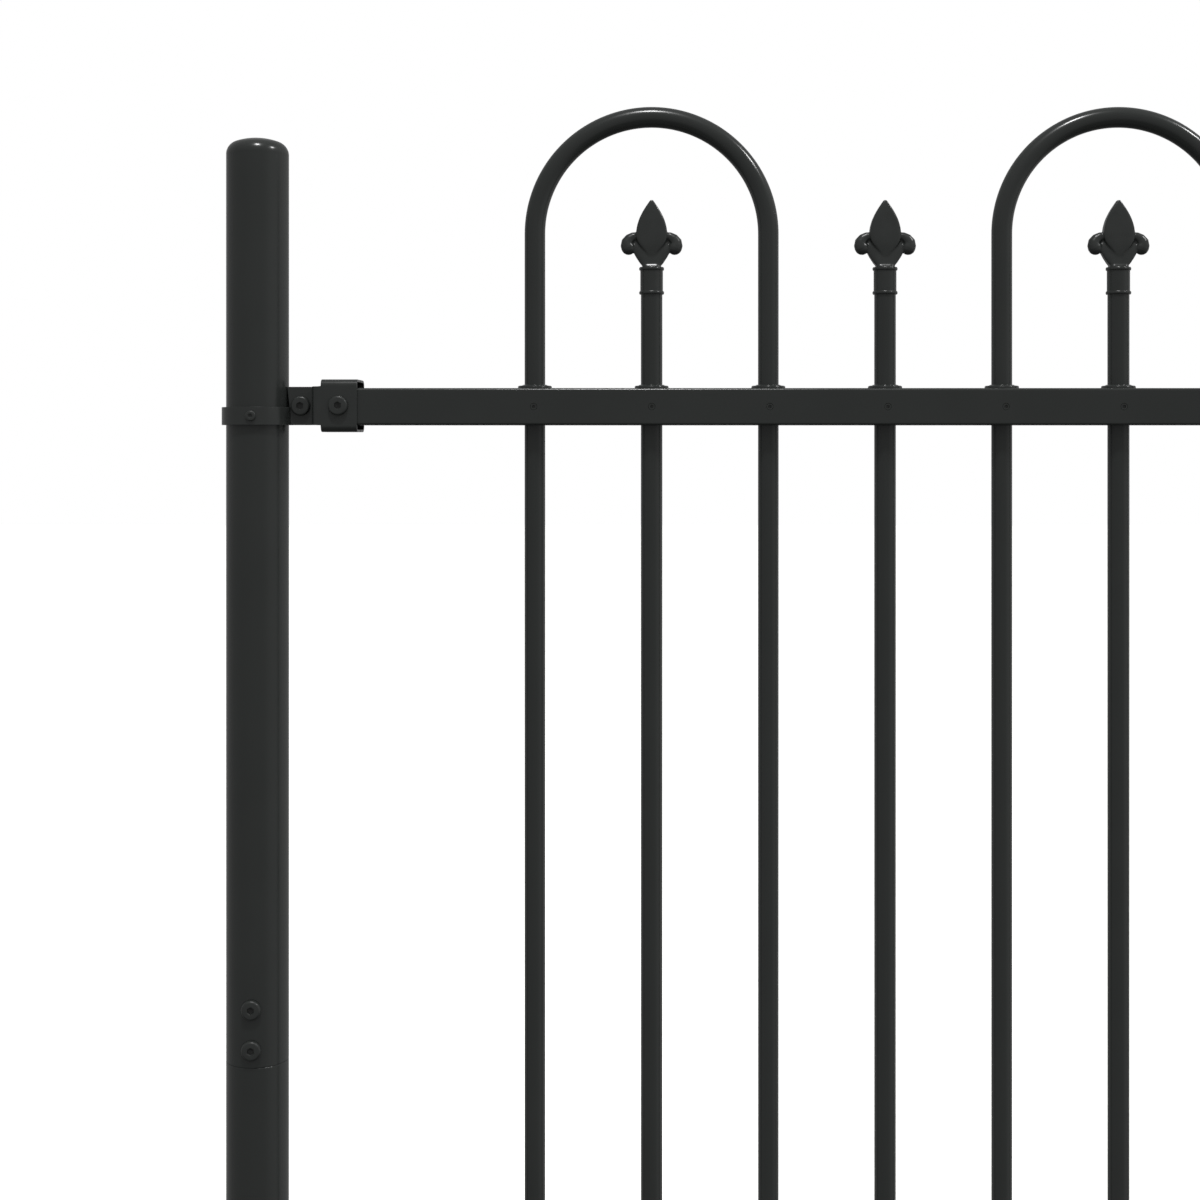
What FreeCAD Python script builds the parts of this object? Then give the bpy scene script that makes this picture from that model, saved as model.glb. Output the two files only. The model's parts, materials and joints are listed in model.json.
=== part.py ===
"""Garden fence bay: hoops and spear pickets through two rails, clamped between two round posts.

The origin is on the ground midway between the posts, X runs along the bay, the front faces -Y, and Z is up.
Sizes are in millimetres.
"""

import FreeCAD, Part
import math
import os

V = FreeCAD.Vector
X_AXIS = V(1, 0, 0)
Y_AXIS = V(0, 1, 0)
Z_AXIS = V(0, 0, 1)

# ---- The bay --------------------------------------------------------------------------------------------
bay_width = 1700.0  # post axis to post axis
post_height = 1200.0  # ground to the top of a cap
end_gap = 215.4  # post axis to the first upright's axis
upright_count = 15
rail_drop = 208.6  # cap top to the top rail's centre line
bottom_rail_height = 141.4  # ground to the bottom rail's centre line
upright_tail = 60.0  # how far an upright runs below the bottom rail's centre line
hoop_rise = 134.3  # top rail's centre line to the centre of a hoop's bend
picket_rise = 87.3  # top rail's centre line to the end of a picket tube

# ---- Posts ----------------------------------------------------------------------------------------------
post_diameter = 48.0
post_wall = 1.6
upper_post_length = 714.2  # cap top to the splice
splice_neck_length = 62.0
splice_shoulder_radius = 1.2
splice_screw_heights = (13.4, 44.4)  # above the splice
cap_edge_radius = 10.5
cap_crown_radius = 50.0
cap_plug_length = 22.0
base_plate_size = 150.0
base_plate_thickness = 6.0
base_plate_corner_radius = 8.0
base_hole_spacing = 110.0
base_hole_diameter = 11.0
weld_leg = 4.0

# ---- Rails and uprights ---------------------------------------------------------------------------------
rail_height = 28.5
rail_depth = 36.0
rail_wall = 1.5
rail_corner_radius = 2.0
hoop_tube_diameter = 16.0
picket_tube_diameter = 16.7
upright_wall = 1.2
bush_flange_diameter = 26.4
bush_flange_thickness = 2.3
bush_bevel = 0.7
bush_wall = 1.0
bush_reach = 1.0  # how far a bush's collar stands below the rail's wall
picket_screw_shank = 4.0
picket_screw_head = 5.2
picket_screw_head_depth = 1.2
picket_screw_socket = 2.5
picket_screw_inset = 0.2  # head below the rail's face
picket_screw_bite = 1.5  # how far the point stands inside an upright's wall

# ---- Finials, from the collar's foot up -----------------------------------------------------------------
collar_radius = 8.8
bead_radius = 9.7
bead_height = 2.6
upper_bead_foot = 18.6
neck_radius = 7.6
neck_foot = 23.0
stem_foot = 24.2
stem_radius = 8.4
finial_spigot_length = 18.0
finial_height = 72.6
fleur_thickness = 10.0
blade_half_width = 11.6
blade_widest = 48.6
lobe_centre = (17.9, 36.3)
lobe_radius = 5.8

# ---- Clamps ---------------------------------------------------------------------------------------------
strap_thickness = 3.2
strap_height = 13.8
clamp_lift = 0.7  # rail's centre line to the clamp's
ear_height = 29.6
ear_corner_radius = 1.5
clip_sheet = 2.0
ear_bolt_to_clip = 10.4  # ear bolt's axis to the clip's closed end
clip_neck_length = 7.4  # the clip's low part, beside the ears
clip_length = 35.2
clip_height = 40.5
clip_bend = 3.6
clip_side_bend = 5.0
clip_split = 1.0  # gap between the front and back clips' lips
clip_to_rail_bolt = 20.9  # the clip's closed end to the rail bolt's axis
bolt_shank = 8.0
bolt_head = 15.0
bolt_head_height = 4.0
bolt_socket = 5.0
bolt_socket_depth = 2.4
bolt_end = 2.0  # bolt beyond its nut
nut_across_flats = 13.0
nut_height = 6.5
lock_screw_shank = 5.0
lock_screw_head = 8.0
lock_screw_head_height = 2.2
lock_screw_socket = 3.0
splice_screw_length = 14.0

# ---- Clearances -----------------------------------------------------------------------------------------
swivel_clearance = 0.10  # strap round a post, in radius
slip_clearance = 0.10  # plugs, spigots, bushes and nuts, in radius
hole_clearance = 0.20  # bolts and screws through plain holes, in radius
rail_end_clearance = 0.5
ear_clearance = 0.9  # ear's inner end to the post
ear_end_clearance = 0.6  # ear's outer end to the clip
head_clearance = 0.1  # ear bolt's head to the strap's band
tab_gap = 0.2  # between the two tabs in a strap
lock_clearance = 0.06  # lock screw's point to the post

# ---- Worked out from the sizes above --------------------------------------------------------------------
post_radius = post_diameter / 2
post_bore = post_radius - post_wall
post_x = bay_width / 2
splice_z = post_height - upper_post_length
top_rail_z = post_height - rail_drop
rail_z = {"top": top_rail_z, "bottom": bottom_rail_height}
pitch = (bay_width - 2 * end_gap) / (upright_count - 1)
upright_foot = bottom_rail_height - upright_tail
hoop_radius = hoop_tube_diameter / 2
picket_radius = picket_tube_diameter / 2
picket_top = top_rail_z + picket_rise
clip_face = rail_depth / 2 + clip_sheet
strap_bore = post_radius + swivel_clearance
strap_radius = strap_bore + strap_thickness
ear_inner = tab_gap / 2 + clip_sheet
ear_face = ear_inner + strap_thickness
ear_start = post_radius + ear_clearance
ear_bolt_x = math.sqrt(strap_radius**2 - ear_face**2) + head_clearance + bolt_head / 2
clip_start = ear_bolt_x + ear_bolt_to_clip
clip_shoulder = clip_start + clip_neck_length
clip_end = clip_start + clip_length
rail_bolt_x = clip_start + clip_to_rail_bolt
ear_end = clip_start - ear_end_clearance
rail_start = clip_start + clip_side_bend + rail_end_clearance
EPS = 1.0  # how far a cutting tool runs past what it cuts


def upright_x(index):
    """X of an upright's axis."""
    return -post_x + end_gap + index * pitch


def is_hoop_leg(index):
    """Every other upright is a hoop leg."""
    return index % 2 == 0


def upright_radius(index):
    return hoop_radius if is_hoop_leg(index) else picket_radius


def box(x0, x1, y0, y1, z0, z1):
    """A box between two corners."""
    return Part.makeBox(x1 - x0, y1 - y0, z1 - z0, V(x0, y0, z0))


def rounded_box(x0, x1, y0, y1, z0, z1, radius, axis):
    """A box whose four edges along axis are rounded."""
    solid = box(x0, x1, y0, y1, z0, z1)
    edges = []
    for edge in solid.Edges:
        run = edge.Vertexes[1].Point - edge.Vertexes[0].Point
        if run.cross(axis).Length < 1e-6:
            edges.append(edge)
    return solid.makeFillet(radius, edges)


def rod(radius, start, length, direction=Z_AXIS):
    """A round bar from start."""
    return Part.makeCylinder(radius, length, start, direction)


def tube(outer, inner, start, length, direction=Z_AXIS):
    """A round tube from start."""
    reach = direction * EPS
    return rod(outer, start, length, direction).cut(rod(inner, start - reach, length + 2 * EPS, direction))


def turned(points, centre=V(0, 0, 0)):
    """A solid of revolution about Z, from (radius, height) points. A point may also be
    ("arc", via, end), which is an arc from the last point."""
    edges = []
    last = points[0]
    for item in points[1:] + [points[0]]:
        if item[0] == "arc":
            via, end = item[1], item[2]
            middle = V(via[0], 0, via[1])
            edges.append(Part.Arc(V(last[0], 0, last[1]), middle, V(end[0], 0, end[1])).toShape())
            last = end
        elif item != last:
            edges.append(Part.LineSegment(V(last[0], 0, last[1]), V(item[0], 0, item[1])).toShape())
            last = item
    face = Part.Face(Part.Wire(edges))
    solid = face.revolve(V(0, 0, 0), Z_AXIS, 360)
    solid.translate(centre)
    return solid


def plate(outline, thickness):
    """An upright plate centred on Y = 0, from an outline of (x, z) points and arcs."""
    edges = []
    last = outline[0]
    for item in outline[1:] + [outline[0]]:
        if item[0] == "arc":
            via, end = item[1], item[2]
            edges.append(Part.Arc(V(last[0], 0, last[1]), V(via[0], 0, via[1]), V(end[0], 0, end[1])).toShape())
            last = end
        elif item != last:
            edges.append(Part.LineSegment(V(last[0], 0, last[1]), V(item[0], 0, item[1])).toShape())
            last = item
    face = Part.Face(Part.Wire(edges))
    solid = face.extrude(V(0, thickness, 0))
    solid.translate(V(0, -thickness / 2, 0))
    return solid


def hexagon(across_flats, depth, start, direction):
    """A hexagonal bar from start, along +Y or -Y, with two flats up and down."""
    corner = across_flats / math.sqrt(3)
    points = []
    for step in range(7):
        angle = math.radians(60 * step)
        points.append(start + V(corner * math.cos(angle), 0, corner * math.sin(angle)))
    return Part.Face(Part.makePolygon(points)).extrude(direction * depth)


def fuse_all(shapes):
    """One solid from shapes that meet."""
    solid = shapes[0].fuse(shapes[1:]) if len(shapes) > 1 else shapes[0]
    return solid.removeSplitter()


# ---- Fasteners, which all point along Y with the head to the front --------------------------------------
def button_head(diameter, height, socket, socket_depth, place):
    """A domed head whose flat seat is at place and whose socket opens to -Y."""
    radius = diameter / 2
    rim = 0.25 * height
    crown = 0.42 * radius
    profile = [(0, 0), (radius, 0), (radius, rim), ("arc", (0.84 * radius, 0.76 * height), (crown, height))]
    head = turned(profile + [(0, height)])
    head.rotate(V(0, 0, 0), X_AXIS, 90)
    head.translate(place)
    top = place - Y_AXIS * (height + EPS)
    return head.cut(hexagon(socket, socket_depth + EPS, top, Y_AXIS))


def bolt(place, grip):
    """A clamp's bolt, with its seat at place, long enough for its nut beyond the grip."""
    length = grip + nut_height + bolt_end
    head = button_head(bolt_head, bolt_head_height, bolt_socket, bolt_socket_depth, place)
    return fuse_all([head, rod(bolt_shank / 2, place, length, Y_AXIS)])


def nut(place):
    """A clamp's nut, which bears on the part at place and stands out to +Y."""
    body = hexagon(nut_across_flats, nut_height, place, Y_AXIS)
    crown = nut_across_flats / 2 * 1.08
    blank = rod(crown, place, nut_height, Y_AXIS)
    return body.common(blank).cut(rod(bolt_shank / 2 + slip_clearance, place - Y_AXIS * EPS, 2 * nut_height, Y_AXIS))


# ---- Posts ----------------------------------------------------------------------------------------------
def splice_screw_places(x):
    """Where the heads of a post's splice screws bear on it."""
    return [V(x, -post_radius, splice_z + height) for height in splice_screw_heights]


def upper_tube(x):
    """From the splice to the cap, with holes for the splice screws."""
    top = post_height - cap_height()
    solid = tube(post_radius, post_bore, V(x, 0, splice_z), top - splice_z)
    for place in splice_screw_places(x):
        solid = solid.cut(rod(bolt_shank / 2 + hole_clearance, place - Y_AXIS * EPS, post_radius, Y_AXIS))
    return solid


def lower_tube(x):
    """From the base plate to the splice, with a rounded shoulder and a swaged neck above it."""
    neck = post_bore - slip_clearance
    shoulder = splice_shoulder_radius
    slope = 0.3 * shoulder
    bend = (post_radius - slope, splice_z - slope)
    inner = neck - post_wall
    profile = [
        (post_bore, base_plate_thickness),
        (post_radius, base_plate_thickness),
        (post_radius, splice_z - shoulder),
        ("arc", bend, (post_radius - shoulder, splice_z)),
        (neck, splice_z),
        (neck, splice_z + splice_neck_length),
        (inner, splice_z + splice_neck_length),
        (inner, splice_z - post_wall),
        (post_bore, splice_z - 3 * post_wall),
    ]
    solid = turned(profile, V(x, 0, 0))
    for place in splice_screw_places(x):
        solid = solid.cut(rod(bolt_shank / 2 + slip_clearance, place, post_radius, Y_AXIS))
    return solid


def cap_height():
    """From the foot of a cap's rounded edge to its top."""
    reach = post_radius - cap_edge_radius
    rise = math.sqrt((cap_crown_radius - cap_edge_radius) ** 2 - reach**2)
    return cap_crown_radius - rise


def post_cap(x):
    """A shallow dome with a round edge, on a plug that goes down inside the tube."""
    foot = post_height - cap_height()
    reach = post_radius - cap_edge_radius
    lean = math.asin(reach / (cap_crown_radius - cap_edge_radius))
    crown_z = post_height - cap_crown_radius
    meet = (cap_crown_radius * math.sin(lean), crown_z + cap_crown_radius * math.cos(lean))
    half = (math.pi / 2 - lean) / 2
    edge = (reach + cap_edge_radius * math.cos(half), foot + cap_edge_radius * math.sin(half))
    crown = (cap_crown_radius * math.sin(lean / 2), crown_z + cap_crown_radius * math.cos(lean / 2))
    plug = post_bore - slip_clearance
    profile = [
        (0, foot - cap_plug_length),
        (plug, foot - cap_plug_length),
        (plug, foot),
        (post_radius, foot),
        ("arc", edge, meet),
        ("arc", crown, (0, post_height)),
    ]
    return turned(profile, V(x, 0, 0))


def splice_screws(x):
    """Two screws through the upper tube into the neck inside it."""
    screws = []
    for place in splice_screw_places(x):
        head = button_head(bolt_head, bolt_head_height, bolt_socket, bolt_socket_depth, place)
        screws.append(fuse_all([head, rod(bolt_shank / 2, place, splice_screw_length, Y_AXIS)]))
    return Part.makeCompound(screws)


def base_plate(x):
    """A square plate with a weld bead round the tube that stands on it."""
    half = base_plate_size / 2
    z1 = base_plate_thickness
    solid = rounded_box(x - half, x + half, -half, half, 0, z1, base_plate_corner_radius, Z_AXIS)
    for sx in (-1, 1):
        for sy in (-1, 1):
            place = V(x + sx * base_hole_spacing / 2, sy * base_hole_spacing / 2, -EPS)
            solid = solid.cut(rod(base_hole_diameter / 2, place, z1 + 2 * EPS))
    foot = z1 - EPS
    inner = post_radius
    profile = [(inner, foot), (inner + weld_leg, foot), (inner + weld_leg, z1), (inner, z1 + weld_leg)]
    return fuse_all([solid, turned(profile, V(x, 0, 0))])


# ---- Rails and what goes through them -------------------------------------------------------------------
def rail(z):
    """A rectangular tube with holes for the uprights, their bushes and screws, and the clamps' bolts."""
    x1 = post_x - rail_start
    y1 = rail_depth / 2
    z1 = rail_height / 2
    w = rail_wall
    r = rail_corner_radius
    solid = rounded_box(-x1, x1, -y1, y1, z - z1, z + z1, r, X_AXIS)
    bore = rounded_box(-x1 - EPS, x1 + EPS, -y1 + w, y1 - w, z - z1 + w, z + z1 - w, r / 2, X_AXIS)
    solid = solid.cut(bore)
    tools = []
    for index in range(upright_count):
        radius = upright_radius(index)
        x = upright_x(index)
        tools.append(rod(radius + hole_clearance, V(x, 0, z - z1 - EPS), z1))
        collar = radius + slip_clearance + bush_wall + slip_clearance
        tools.append(rod(collar, V(x, 0, z + EPS), z1 + EPS))
        tools.append(rod(picket_screw_shank / 2 + slip_clearance, V(x, -y1 - EPS, z), y1, Y_AXIS))
        tools.append(screw_head_blank(V(x, -y1, z), slip_clearance, EPS))
    for side in (-1, 1):
        place = V(side * (post_x - rail_bolt_x), -y1 - EPS, z + clamp_lift)
        tools.append(rod(bolt_shank / 2 + hole_clearance, place, rail_depth + 2 * EPS, Y_AXIS))
    return solid.cut(tools)


def hoop(first):
    """A bent tube whose two legs stand on the uprights first and first + 2."""
    x0 = upright_x(first)
    x1 = upright_x(first + 2)
    spring = top_rail_z + hoop_rise
    inner = hoop_radius - upright_wall
    length = spring - upright_foot
    solids = []
    for radius in (hoop_radius, inner):
        legs = [rod(radius, V(x, 0, upright_foot), length) for x in (x0, x1)]
        section = Part.Face(Part.Wire(Part.makeCircle(radius, V(x0, 0, spring), Z_AXIS)))
        bend = section.revolve(V((x0 + x1) / 2, 0, spring), Y_AXIS, 180)
        solids.append(fuse_all([bend] + legs))
    solid = solids[0].cut(solids[1])
    return solid.cut(screw_holes(x0, hoop_radius) + screw_holes(x1, hoop_radius))


def picket(index):
    """A straight tube that ends under its finial."""
    x = upright_x(index)
    inner = picket_radius - upright_wall
    solid = tube(picket_radius, inner, V(x, 0, upright_foot), picket_top - upright_foot)
    return solid.cut(screw_holes(x, picket_radius))


def screw_holes(x, radius):
    """Where the rails' screws go through the front wall of an upright."""
    hole = picket_screw_shank / 2 + slip_clearance
    return [rod(hole, V(x, -radius - EPS, z), radius, Y_AXIS) for z in rail_z.values()]


def bushes(z):
    """A flanged bush round each upright on top of a rail."""
    rings = []
    top = z + rail_height / 2
    for index in range(upright_count):
        inner = upright_radius(index) + slip_clearance
        outer = inner + bush_wall
        flange = bush_flange_diameter / 2
        profile = [
            (inner, -rail_wall - bush_reach),
            (outer, -rail_wall - bush_reach),
            (outer, 0),
            (flange, 0),
            (flange, bush_flange_thickness - bush_bevel),
            (flange - bush_bevel, bush_flange_thickness),
            (inner, bush_flange_thickness),
        ]
        rings.append(turned(profile, V(upright_x(index), 0, top)))
    return Part.makeCompound(rings)


def screw_head_blank(place, grow, reach=0.0):
    """The countersunk head of a rail's screw, or with grow and reach the recess that it sits in."""
    head = picket_screw_head / 2 + grow
    foot = picket_screw_shank / 2 + grow
    depth = picket_screw_inset + picket_screw_head_depth
    profile = [(0, -depth), (foot, -depth), (head, -picket_screw_inset), (head, reach), (0, reach)]
    if not reach:
        profile = [(0, -depth), (foot, -depth), (head, -picket_screw_inset), (0, -picket_screw_inset)]
    blank = turned(profile)
    blank.rotate(V(0, 0, 0), X_AXIS, 90)
    blank.translate(place)
    return blank


def picket_screws(z):
    """One screw for each upright, flush in the rail's front."""
    screws = []
    face = -rail_depth / 2
    depth = picket_screw_inset + picket_screw_head_depth
    for index in range(upright_count):
        x = upright_x(index)
        point = -upright_radius(index) + upright_wall + picket_screw_bite
        start = V(x, face + depth, z)
        shank = rod(picket_screw_shank / 2, start, point - start.y, Y_AXIS)
        head = screw_head_blank(V(x, face, z), 0.0)
        socket = hexagon(picket_screw_socket, 1.0 + EPS, V(x, face + picket_screw_inset - EPS, z), Y_AXIS)
        screws.append(fuse_all([head, shank]).cut(socket))
    return Part.makeCompound(screws)


def finial(index):
    """A cast fleur-de-lis: a pointed blade between two curled leaves, on a collar with two beads."""
    bead = bead_height / 2
    swell = bead_radius
    upper = upper_bead_foot
    spigot = picket_radius - upright_wall - slip_clearance
    profile = [
        (0, -finial_spigot_length),
        (spigot, -finial_spigot_length),
        (spigot, 0),
        (collar_radius, 0),
        ("arc", (swell, bead), (collar_radius, 2 * bead)),
        (collar_radius, upper),
        ("arc", (swell, upper + bead), (collar_radius, upper + 2 * bead)),
        (neck_radius, neck_foot),
        (0.6 * neck_radius, stem_foot + bead_height),
        (0, stem_foot + bead_height),
    ]
    collar = turned(profile)
    solid = fuse_all([collar, fleur()])
    solid.translate(V(upright_x(index), 0, picket_top))
    return solid


def both_sides(right):
    """A closed outline from its right half, whose first and last points are on the axis. Arcs are kept."""
    left = []
    last = right[0]
    for item in right[1:]:
        start = (-last[0], last[1])
        if item[0] == "arc":
            left.insert(0, ("arc", (-item[1][0], item[1][1]), start))
            last = item[2]
        else:
            left.insert(0, start)
            last = item
    return right + left


def fleur():
    """The flat cast head: a pointed blade between two leaves that curl out and down to round lobes."""
    half = blade_half_width
    cx, cz = lobe_centre
    r = lobe_radius
    notch = (cx - 0.70 * r, cz - 0.714 * r)
    shoulder = (0.70 * half, finial_height - 0.49 * (finial_height - blade_widest))
    right = [
        (0, stem_foot),
        (stem_radius, stem_foot),
        ("arc", (0.84 * notch[0], 0.90 * notch[1]), notch),
        ("arc", (cx + 0.1 * r, cz - r), (cx + r, cz)),
        ("arc", (cx + 0.5 * r, cz + 1.38 * r), (half, blade_widest)),
        ("arc", shoulder, (0, finial_height)),
    ]
    return plate(both_sides(right), fleur_thickness)


# ---- Clamps, modelled for the left post, whose axis is at X = Y = 0, with their middle at Z = 0 ---------
def strap():
    """A band round the post that ends in two tall ears, flush with their feet. The next bay's strap, turned
    upside down, has the upper half of the same height on the post."""
    z0 = -ear_height / 2
    ring = tube(strap_radius, strap_bore, V(0, 0, z0), strap_height)
    mouth = box(0, strap_radius + EPS, -ear_inner, ear_inner, z0 - EPS, z0 + strap_height + EPS)
    half = ear_height / 2
    ears = []
    for side in (-1, 1):
        y0, y1 = sorted((side * ear_inner, side * ear_face))
        ears.append(rounded_box(ear_start, ear_end, y0, y1, -half, half, ear_corner_radius, Y_AXIS))
    hole = rod(bolt_shank / 2 + hole_clearance, V(ear_bolt_x, -ear_face - EPS, 0), 2 * (ear_face + EPS), Y_AXIS)
    lock_place = V(0, -strap_radius - EPS, z0 + strap_height / 2)
    lock = rod(lock_screw_shank / 2 + slip_clearance, lock_place, strap_radius, Y_AXIS)
    bored = rod(strap_bore, V(0, 0, z0 - 2 * ear_height), 4 * ear_height)
    return fuse_all([ring.cut(mouth)] + ears).cut([hole, lock, bored])


def front_clip():
    """A folded sheet over the front of the rail's end, with a tab that goes between the strap's ears."""
    t = clip_sheet
    face = clip_face
    high = clip_height / 2
    low = ear_height / 2
    outer = rounded_box(clip_shoulder, clip_end, -face, face, -high, high, clip_bend, X_AXIS)
    inner = rounded_box(clip_shoulder - EPS, clip_end + EPS, -face + t, face - t, -high + t, high - t,
                        clip_bend - t, X_AXIS)
    half_space = box(clip_shoulder - EPS, clip_end + EPS, -face - EPS, -clip_split / 2, -high - EPS, high + EPS)
    channel = outer.cut(inner).common(half_space)
    neck = rounded_box(clip_start, clip_shoulder + 3 * t, -face, face, -low, low, clip_side_bend, Z_AXIS)
    hollow = rounded_box(clip_start + t, clip_shoulder + 4 * t, -face + t, face - t, -low - EPS, low + EPS,
                         clip_side_bend - t, Z_AXIS)
    far = box(clip_shoulder + t, clip_shoulder + 5 * t, -face - EPS, face + EPS, -low - EPS, low + EPS)
    front = box(0, clip_end, -face - EPS, -tab_gap / 2, -low - EPS, low + EPS)
    neck = neck.cut([hollow, far]).common(front)
    tab = box(ear_start + t, clip_start + t, -tab_gap / 2 - t, -tab_gap / 2, -low + t, low - t)
    solid = fuse_all([channel, neck, tab])
    tools = []
    for x in (ear_bolt_x, rail_bolt_x):
        tools.append(rod(bolt_shank / 2 + hole_clearance, V(x, -face - EPS, 0), face + EPS, Y_AXIS))
    return solid.cut(tools)


def clamp_bolts():
    """The bolt through the strap's ears and the bolt through the rail."""
    ear = bolt(V(ear_bolt_x, -ear_face, 0), 2 * ear_face)
    through = bolt(V(rail_bolt_x, -clip_face, 0), 2 * clip_face)
    return Part.makeCompound([ear, through])


def clamp_nuts():
    """The nuts of both bolts, at the back."""
    ear = nut(V(ear_bolt_x, ear_face, 0))
    through = nut(V(rail_bolt_x, clip_face, 0))
    return Part.makeCompound([ear, through])


def lock_screw():
    """The small screw in the front of a strap, which bears on the post."""
    z = (strap_height - ear_height) / 2
    seat = V(0, -strap_radius, z)
    head = button_head(lock_screw_head, lock_screw_head_height, lock_screw_socket, lock_screw_head_height / 2, seat)
    length = strap_radius - post_radius - lock_clearance
    return fuse_all([head, rod(lock_screw_shank / 2, seat, length, Y_AXIS)])


CLAMP_PARTS = {
    "strap": strap(),
    "front_clip": front_clip(),
    "back_clip": front_clip().mirror(V(0, 0, 0), Y_AXIS),
    "bolts": clamp_bolts(),
    "nuts": clamp_nuts(),
    "lock_screw": lock_screw(),
}


def clamp_nodes(side, level):
    """The six nodes of one clamp. side is -1 at the left post and 1 at the right post, where the same
    clamp is turned half round about Y, so that two bays can share a post."""
    name = {-1: "left", 1: "right"}[side]
    nodes = {}
    for part_name, shape in CLAMP_PARTS.items():
        placed = shape.copy()
        if side > 0:
            placed.rotate(V(0, 0, 0), Y_AXIS, 180)
        placed.translate(V(side * post_x, 0, rail_z[level] + clamp_lift))
        nodes[f"{name}_{level}_{part_name}"] = placed
    return nodes


def post_nodes(side):
    """The five nodes of one post."""
    name = {-1: "left", 1: "right"}[side]
    x = side * post_x
    return {
        f"{name}_upper_tube": upper_tube(x),
        f"{name}_lower_tube": lower_tube(x),
        f"{name}_post_cap": post_cap(x),
        f"{name}_splice_screws": splice_screws(x),
        f"{name}_base_plate": base_plate(x),
    }


def panel_nodes():
    """The rails and everything that goes through them."""
    nodes = {}
    for level, z in rail_z.items():
        nodes[f"{level}_rail"] = rail(z)
        nodes[f"{level}_bushes"] = bushes(z)
        nodes[f"{level}_picket_screws"] = picket_screws(z)
    for number, first in enumerate(range(0, upright_count - 1, 4), start=1):
        nodes[f"hoop_{number}"] = hoop(first)
    for number, index in enumerate(range(1, upright_count, 2), start=1):
        nodes[f"picket_{number}"] = picket(index)
        nodes[f"finial_{number}"] = finial(index)
    return nodes


def all_nodes():
    nodes = {}
    for side in (-1, 1):
        nodes.update(post_nodes(side))
        for level in rail_z:
            nodes.update(clamp_nodes(side, level))
    nodes.update(panel_nodes())
    return nodes


os.makedirs("parts", exist_ok=True)
for node_name, node_shape in all_nodes().items():
    node_shape.exportStep(f"parts/{node_name}.step")
print("written")
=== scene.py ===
"""Looks of a garden fence bay: hoop tops, spear pickets with cast heads, clamps and round posts.

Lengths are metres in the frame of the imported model: X along the bay, the front at -Y, Z up.
"""

from __future__ import annotations

import json
import logging
import math
from contextlib import contextmanager
from dataclasses import dataclass
from enum import Enum
from typing import Callable, Iterator, Sequence

import bmesh
import bpy
from mathutils import Matrix, Vector

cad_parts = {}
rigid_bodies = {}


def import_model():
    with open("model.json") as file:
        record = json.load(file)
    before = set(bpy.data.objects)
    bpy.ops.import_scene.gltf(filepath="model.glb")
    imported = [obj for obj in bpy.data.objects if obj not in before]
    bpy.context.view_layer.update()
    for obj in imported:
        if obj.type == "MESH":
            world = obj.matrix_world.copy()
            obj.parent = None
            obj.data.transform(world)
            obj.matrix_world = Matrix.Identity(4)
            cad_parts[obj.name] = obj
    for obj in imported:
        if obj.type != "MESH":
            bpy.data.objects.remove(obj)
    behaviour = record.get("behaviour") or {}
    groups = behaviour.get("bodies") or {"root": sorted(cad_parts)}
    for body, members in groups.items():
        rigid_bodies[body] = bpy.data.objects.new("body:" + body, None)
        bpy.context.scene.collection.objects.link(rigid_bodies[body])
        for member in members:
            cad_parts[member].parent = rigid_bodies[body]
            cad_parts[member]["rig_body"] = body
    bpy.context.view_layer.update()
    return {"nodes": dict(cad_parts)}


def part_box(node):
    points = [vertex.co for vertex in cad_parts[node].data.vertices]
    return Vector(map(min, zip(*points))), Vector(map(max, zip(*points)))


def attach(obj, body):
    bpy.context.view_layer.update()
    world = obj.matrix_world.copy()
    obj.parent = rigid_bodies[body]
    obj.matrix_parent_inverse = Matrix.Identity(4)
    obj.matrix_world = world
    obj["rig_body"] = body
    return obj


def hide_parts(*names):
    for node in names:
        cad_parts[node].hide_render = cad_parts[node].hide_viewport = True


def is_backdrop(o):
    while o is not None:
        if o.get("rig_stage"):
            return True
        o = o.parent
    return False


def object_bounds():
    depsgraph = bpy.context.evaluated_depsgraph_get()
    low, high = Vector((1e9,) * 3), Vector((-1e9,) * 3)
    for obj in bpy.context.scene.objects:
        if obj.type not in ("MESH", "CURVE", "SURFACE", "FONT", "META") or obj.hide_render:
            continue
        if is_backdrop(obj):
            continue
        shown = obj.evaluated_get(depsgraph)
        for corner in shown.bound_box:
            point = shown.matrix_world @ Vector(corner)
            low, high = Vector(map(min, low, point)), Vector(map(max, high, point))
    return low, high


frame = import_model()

MM = 0.001
ORIGIN = Vector((0, 0, 0))
FRONT = Vector((0, -1, 0))
UP = Vector((0, 0, 1))
Piece = bpy.types.Object
Tree = bpy.types.NodeTree
Socket = bpy.types.NodeSocket
TOUCHING = 1e-6  # places that are no further apart are one
log = logging.getLogger("fence")


class Side(Enum):
    """The post that a piece belongs to. The value is the sign of its X."""

    LEFT = -1
    RIGHT = 1

    @property
    def label(self) -> str:
        """The word that names of this side start with."""
        return self.name.lower()


class Level(Enum):
    """The rail that a piece belongs to."""

    TOP = "top"
    BOTTOM = "bottom"


class Kind(Enum):
    """What a selection is made of."""

    VERT = "VERT"
    EDGE = "EDGE"
    FACE = "FACE"


class Slot(Enum):
    """The record's material slots."""

    TUBE = "coated_tube"
    SHEET = "clamp_sheet"
    CAST = "cast_finials"
    FASTENER = "fasteners"
    PLASTIC = "moulded_plastic"


# ---- Bench: modelling by hand, one operator at a time ----
def clear() -> None:
    """Go to object mode with nothing selected."""
    if bpy.context.mode != "OBJECT":
        bpy.ops.object.mode_set(mode="OBJECT")
    bpy.ops.object.select_all(action="DESELECT")


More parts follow.
